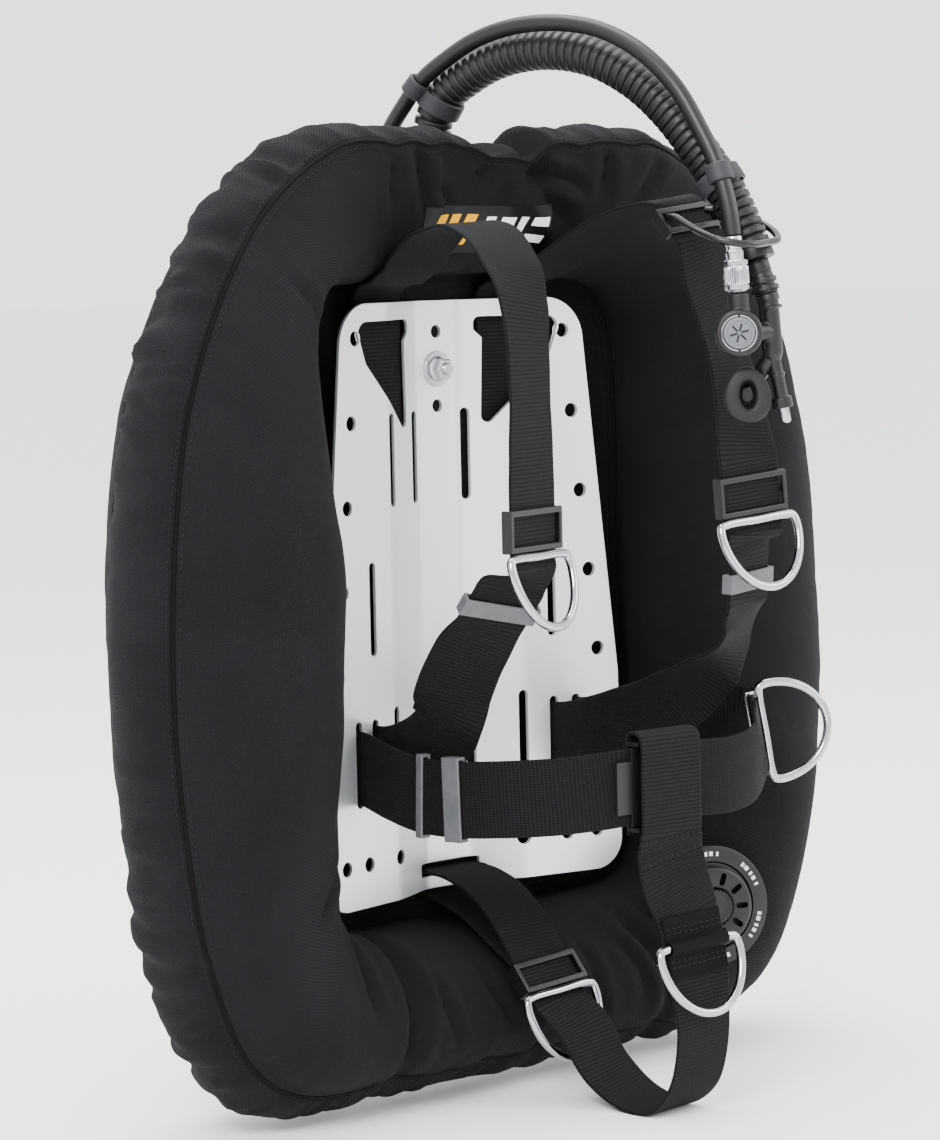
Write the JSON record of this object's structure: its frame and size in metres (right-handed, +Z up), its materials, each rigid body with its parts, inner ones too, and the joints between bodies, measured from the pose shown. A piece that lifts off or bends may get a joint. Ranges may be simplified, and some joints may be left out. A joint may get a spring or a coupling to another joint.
{
  "type": "buoyancy compensator vest",
  "caption": "Doughnut buoyancy wing with a bent aluminium backplate, webbing harness with D-rings, power inflator hose and dump valve.",
  "frame": {"origin": "middle of the rear face of the tank pad, where the tank seats", "axes": "+Y out of the tank pad towards the tank, away from the diver; +Z up along the diver's back; +X towards the diver's left"},
  "size_m": [0.6176, 0.3199, 0.7248],
  "materials": {
    "wing_fabric": "matte",
    "bladder_fabric": "matte",
    "pad_rubber": "matte",
    "plate_aluminium": "satin",
    "fastener_steel": "satin",
    "webbing": "matte",
    "black_steel": "satin",
    "polished_steel": "polished",
    "keeper_rubber": "matte",
    "hose_rubber": "satin",
    "black_plastic": "satin"
  },
  "bodies": {
    "vest": {"backplate": "plate_aluminium", "bladder": "bladder_fabric", "bolt_lower": "fastener_steel", "bolt_upper": "fastener_steel", "buckle_frame": "polished_steel", "buckle_pin": "polished_steel", "bungee_loop": "hose_rubber", "bungee_slide": "black_steel", "centre_panel": "wing_fabric", "corrugated_hose": "hose_rubber", "cover_front_panel": "wing_fabric", "cover_gusset": "wing_fabric", "cover_rear_panel": "wing_fabric", "crotch_ring_tab": "webbing", "crotch_slide": "black_steel", "crotch_strap": "webbing", "dump_valve_body": "black_plastic", "dump_valve_cap": "black_plastic", "grommet_lower": "fastener_steel", "grommet_upper": "fastener_steel", "hip_slide": "polished_steel", "hose_cuff": "hose_rubber", "hose_elbow": "black_plastic", "hose_keeper_lower": "keeper_rubber", "hose_keeper_upper": "keeper_rubber", "hose_tie_lower": "black_steel", "hose_tie_upper": "black_steel", "inflator_body": "black_plastic", "lp_fitting": "polished_steel", "lp_hose": "hose_rubber", "mouthpiece": "hose_rubber", "name_patch": "pad_rubber", "nut_lower": "fastener_steel", "nut_upper": "fastener_steel", "qd_coupler": "polished_steel", "shoulder_slide_left": "black_steel", "shoulder_slide_right": "black_steel", "shoulder_strap_left": "webbing", "shoulder_strap_right": "webbing", "strap_keeper_left": "keeper_rubber", "strap_keeper_right": "keeper_rubber", "tank_pad": "pad_rubber", "waist_keeper_inner": "keeper_rubber", "waist_keeper_outer": "keeper_rubber", "waist_strap_left": "webbing", "waist_strap_right": "webbing", "washer_lower": "fastener_steel", "washer_upper": "fastener_steel"},
    "shoulder_ring_right": {"shoulder_ring_right": "polished_steel"},
    "shoulder_ring_left": {"shoulder_ring_left": "polished_steel"},
    "hip_ring": {"hip_ring": "polished_steel"},
    "crotch_ring_rear": {"crotch_ring_rear": "polished_steel"},
    "crotch_ring_front": {"crotch_ring_front": "polished_steel"},
    "buckle_lever": {"buckle_lever": "polished_steel"},
    "inflate_button": {"inflate_button": "polished_steel"},
    "deflate_button": {"deflate_button": "polished_steel"},
    "qd_collar": {"qd_collar": "polished_steel"},
    "dump_valve_knob": {"dump_valve_knob": "black_plastic"}
  },
  "joints": [
    {"name": "shoulder_ring_right_swing", "type": "hinge", "parent": "vest", "child": "shoulder_ring_right", "pos_m": [-0.101, -0.2111, 0.0272], "axis": [0.9755, 0.2199, 0], "range_deg": [-125, 25]},
    {"name": "shoulder_ring_left_swing", "type": "hinge", "parent": "vest", "child": "shoulder_ring_left", "pos_m": [0.1039, -0.2076, 0.03725], "axis": [0.9917, -0.1002, 0.0801], "range_deg": [-125, 6]},
    {"name": "hip_ring_swing", "type": "hinge", "parent": "vest", "child": "hip_ring", "pos_m": [0.1243, -0.1929, -0.1093], "axis": [0.1209, -0.1008, -0.9875], "range_deg": [-35, 45]},
    {"name": "crotch_ring_rear_swing", "type": "hinge", "parent": "vest", "child": "crotch_ring_rear", "pos_m": [-0.00397, -0.1209, -0.2758], "axis": [0.9975, 0.0499, 0.0499], "range_deg": [-6, 35]},
    {"name": "crotch_ring_front_swing", "type": "hinge", "parent": "vest", "child": "crotch_ring_front", "pos_m": [0.0085, -0.2384, -0.2313], "axis": [0.9933, -0.0993, 0.0596], "range_deg": [-140, 6]},
    {"name": "buckle_lever_turn", "type": "hinge", "parent": "vest", "child": "buckle_lever", "pos_m": [0.00757, -0.2342, -0.125], "axis": [0, 0, 1], "range_deg": [0, 4]},
    {"name": "inflate_button_press", "type": "slide", "parent": "vest", "child": "inflate_button", "axis": [0.7012, 0.7112, -0.0501], "range_m": [0, 0.003], "stiffness_N_per_m": 400},
    {"name": "deflate_button_press", "type": "slide", "parent": "vest", "child": "deflate_button", "axis": [-0.1285, 0.123, 0.9841], "range_m": [0, 0.004], "stiffness_N_per_m": 400},
    {"name": "qd_collar_slide", "type": "slide", "parent": "vest", "child": "qd_collar", "axis": [-0.0259, 0.0698, 0.9972], "range_m": [0, 0.004], "stiffness_N_per_m": 600},
    {"name": "dump_valve_knob_slide", "type": "slide", "parent": "vest", "child": "dump_valve_knob", "axis": [-0.4019, -0.9143, 0.0502], "range_m": [0, 0.006], "stiffness_N_per_m": 400}
  ]
}
